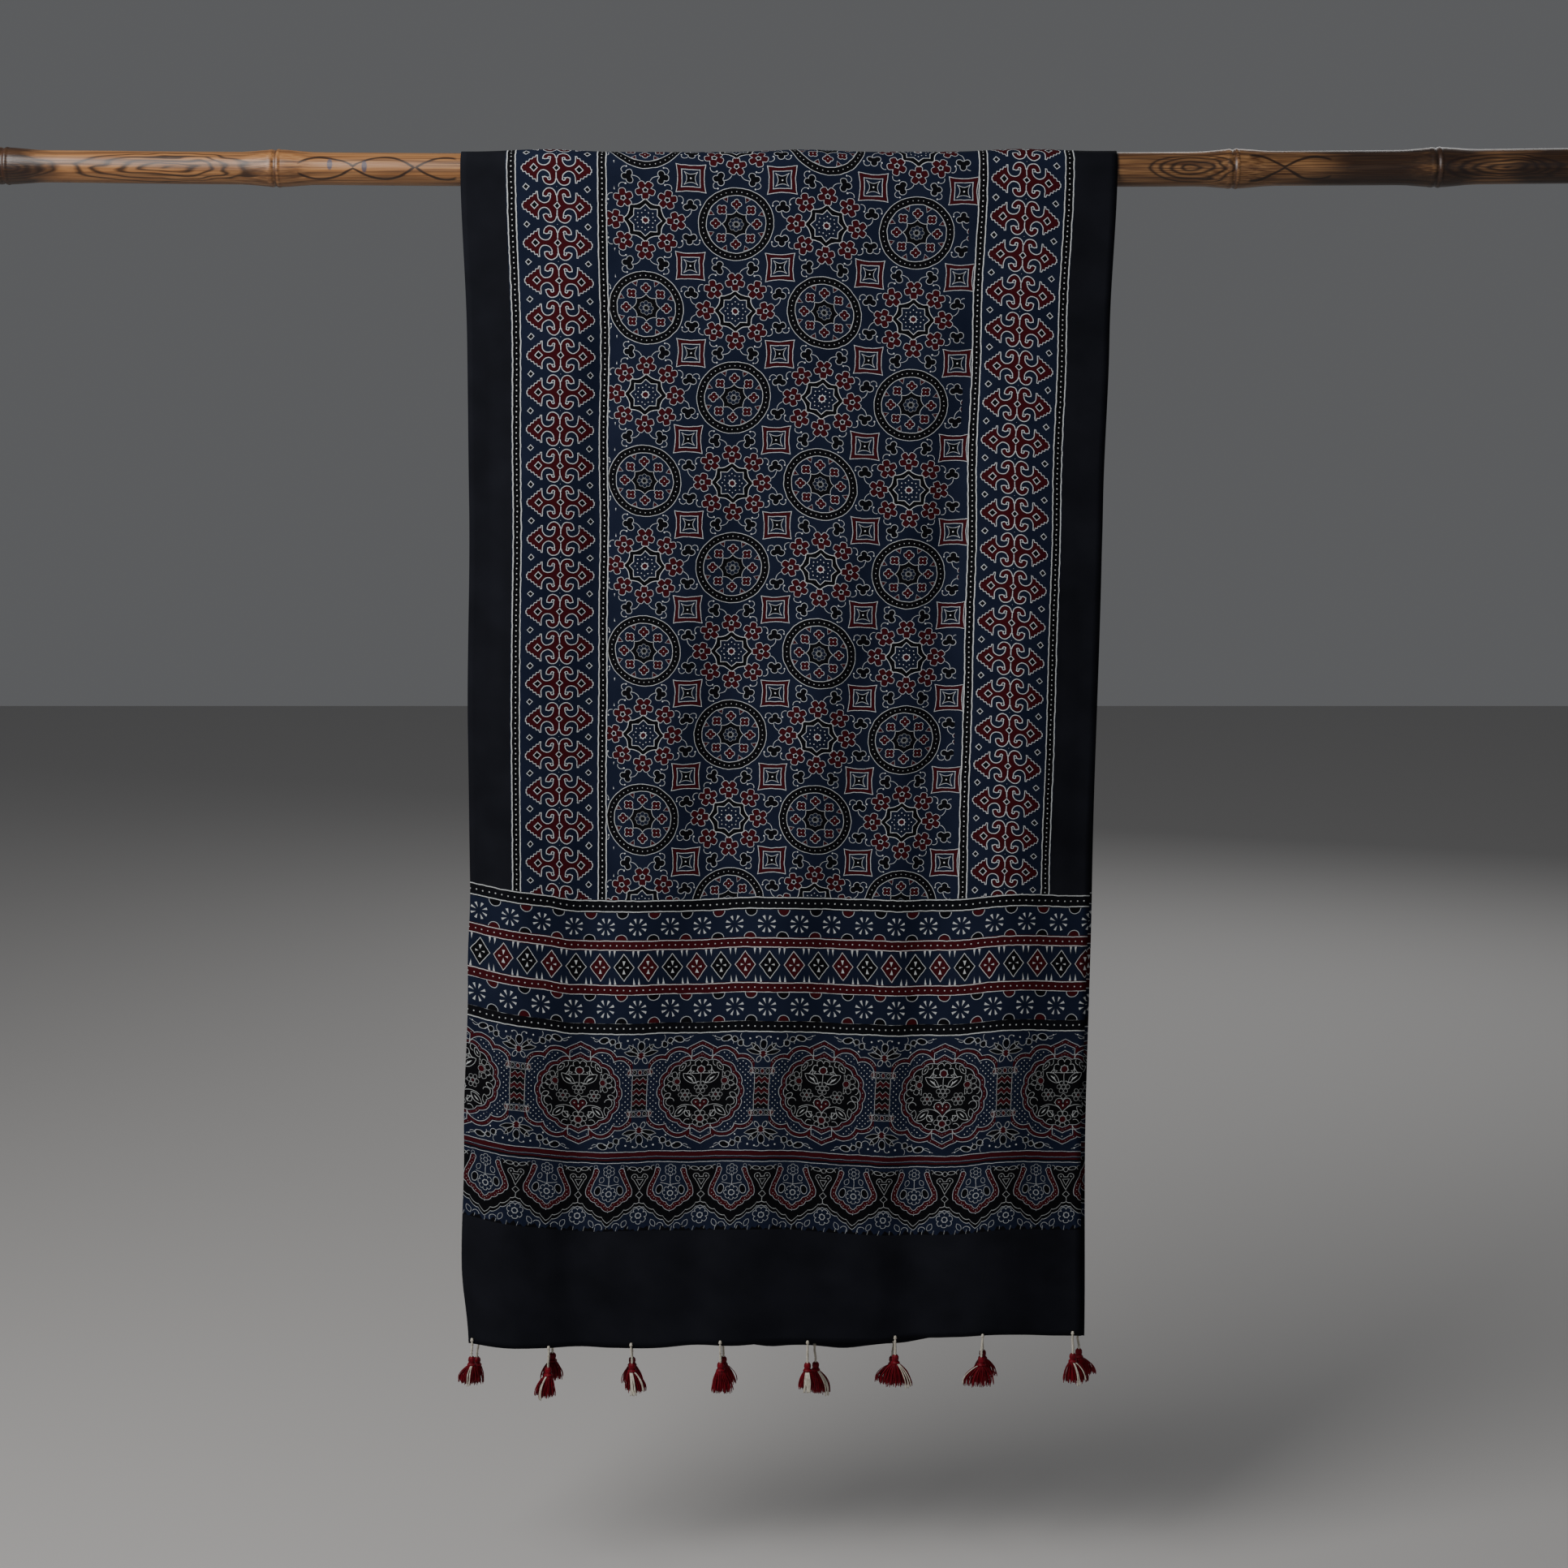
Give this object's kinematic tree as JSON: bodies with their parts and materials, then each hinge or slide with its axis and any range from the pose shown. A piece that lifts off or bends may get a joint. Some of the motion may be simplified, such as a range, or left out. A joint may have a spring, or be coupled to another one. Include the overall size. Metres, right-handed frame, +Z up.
{
  "type": "ajrakh stole on bamboo rod",
  "caption": "Long block printed indigo and madder cotton stole folded double over a horizontal bamboo rod, with thread tassels along both end hems.",
  "frame": {"origin": "on the rod's axis, halfway across the cloth", "axes": "+X runs along the rod to the right, -Y faces the viewer and the front drop, +Z is up"},
  "size_m": [1.4, 0.0598, 1.1026],
  "materials": {
    "bamboo": "smooth golden to brown culm with scorched markings",
    "printed_cloth": "matt plain woven cotton, block printed in indigo, black, madder red and undyed white",
    "tassel_thread": "loose crimson thread with a few white threads"
  },
  "bodies": {
    "root": {"bamboo_rod": "bamboo", "cloth": "printed_cloth", "tassel_front_1": "tassel_thread", "tassel_front_2": "tassel_thread", "tassel_front_3": "tassel_thread", "tassel_front_4": "tassel_thread", "tassel_front_5": "tassel_thread", "tassel_front_6": "tassel_thread", "tassel_front_7": "tassel_thread", "tassel_front_8": "tassel_thread", "tassel_back_1": "tassel_thread", "tassel_back_2": "tassel_thread", "tassel_back_3": "tassel_thread", "tassel_back_4": "tassel_thread", "tassel_back_5": "tassel_thread", "tassel_back_6": "tassel_thread", "tassel_back_7": "tassel_thread", "tassel_back_8": "tassel_thread"}
  },
  "joints": []
}
